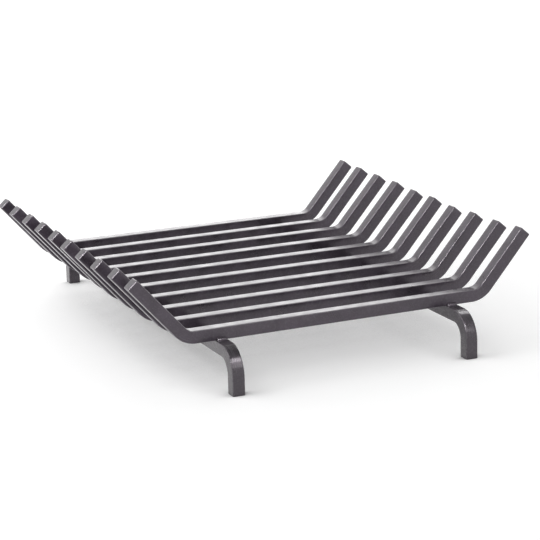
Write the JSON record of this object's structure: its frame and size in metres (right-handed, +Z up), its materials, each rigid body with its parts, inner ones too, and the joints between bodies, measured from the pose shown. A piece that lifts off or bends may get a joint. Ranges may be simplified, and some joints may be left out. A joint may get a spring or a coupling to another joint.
{
  "type": "log grate",
  "caption": "Heavy fireplace log grate of parallel square steel bars with upturned ends, welded across two bent leg bars that form its feet.",
  "frame": {"origin": "on the floor, under the middle of the grate", "axes": "+Z up; X runs along the grate bars, from one row of raised ends to the other; Y runs along the two leg bars, from the front feet (-Y) to the back feet"},
  "size_m": [0.5484, 0.637, 0.1454],
  "materials": {
    "grate_bar_paint": "satin charcoal heat-resistant paint over hot-rolled square bar",
    "leg_bar_paint": "satin charcoal heat-resistant paint over hot-rolled square bar",
    "weld_paint": "the same paint over rippled weld beads"
  },
  "bodies": {
    "root": {"grate_bar_01": "grate_bar_paint", "grate_bar_02": "grate_bar_paint", "grate_bar_03": "grate_bar_paint", "grate_bar_04": "grate_bar_paint", "grate_bar_05": "grate_bar_paint", "grate_bar_06": "grate_bar_paint", "grate_bar_07": "grate_bar_paint", "grate_bar_08": "grate_bar_paint", "grate_bar_09": "grate_bar_paint", "grate_bar_10": "grate_bar_paint", "leg_bar_left": "leg_bar_paint", "leg_bar_right": "leg_bar_paint", "weld_left_01_front": "weld_paint", "weld_left_01_back": "weld_paint", "weld_right_01_front": "weld_paint", "weld_right_01_back": "weld_paint", "weld_left_02_front": "weld_paint", "weld_left_02_back": "weld_paint", "weld_right_02_front": "weld_paint", "weld_right_02_back": "weld_paint", "weld_left_03_front": "weld_paint", "weld_left_03_back": "weld_paint", "weld_right_03_front": "weld_paint", "weld_right_03_back": "weld_paint", "weld_left_04_front": "weld_paint", "weld_left_04_back": "weld_paint", "weld_right_04_front": "weld_paint", "weld_right_04_back": "weld_paint", "weld_left_05_front": "weld_paint", "weld_left_05_back": "weld_paint", "weld_right_05_front": "weld_paint", "weld_right_05_back": "weld_paint", "weld_left_06_front": "weld_paint", "weld_left_06_back": "weld_paint", "weld_right_06_front": "weld_paint", "weld_right_06_back": "weld_paint", "weld_left_07_front": "weld_paint", "weld_left_07_back": "weld_paint", "weld_right_07_front": "weld_paint", "weld_right_07_back": "weld_paint", "weld_left_08_front": "weld_paint", "weld_left_08_back": "weld_paint", "weld_right_08_front": "weld_paint", "weld_right_08_back": "weld_paint", "weld_left_09_front": "weld_paint", "weld_left_09_back": "weld_paint", "weld_right_09_front": "weld_paint", "weld_right_09_back": "weld_paint", "weld_left_10_front": "weld_paint", "weld_left_10_back": "weld_paint", "weld_right_10_front": "weld_paint", "weld_right_10_back": "weld_paint"}
  },
  "joints": []
}
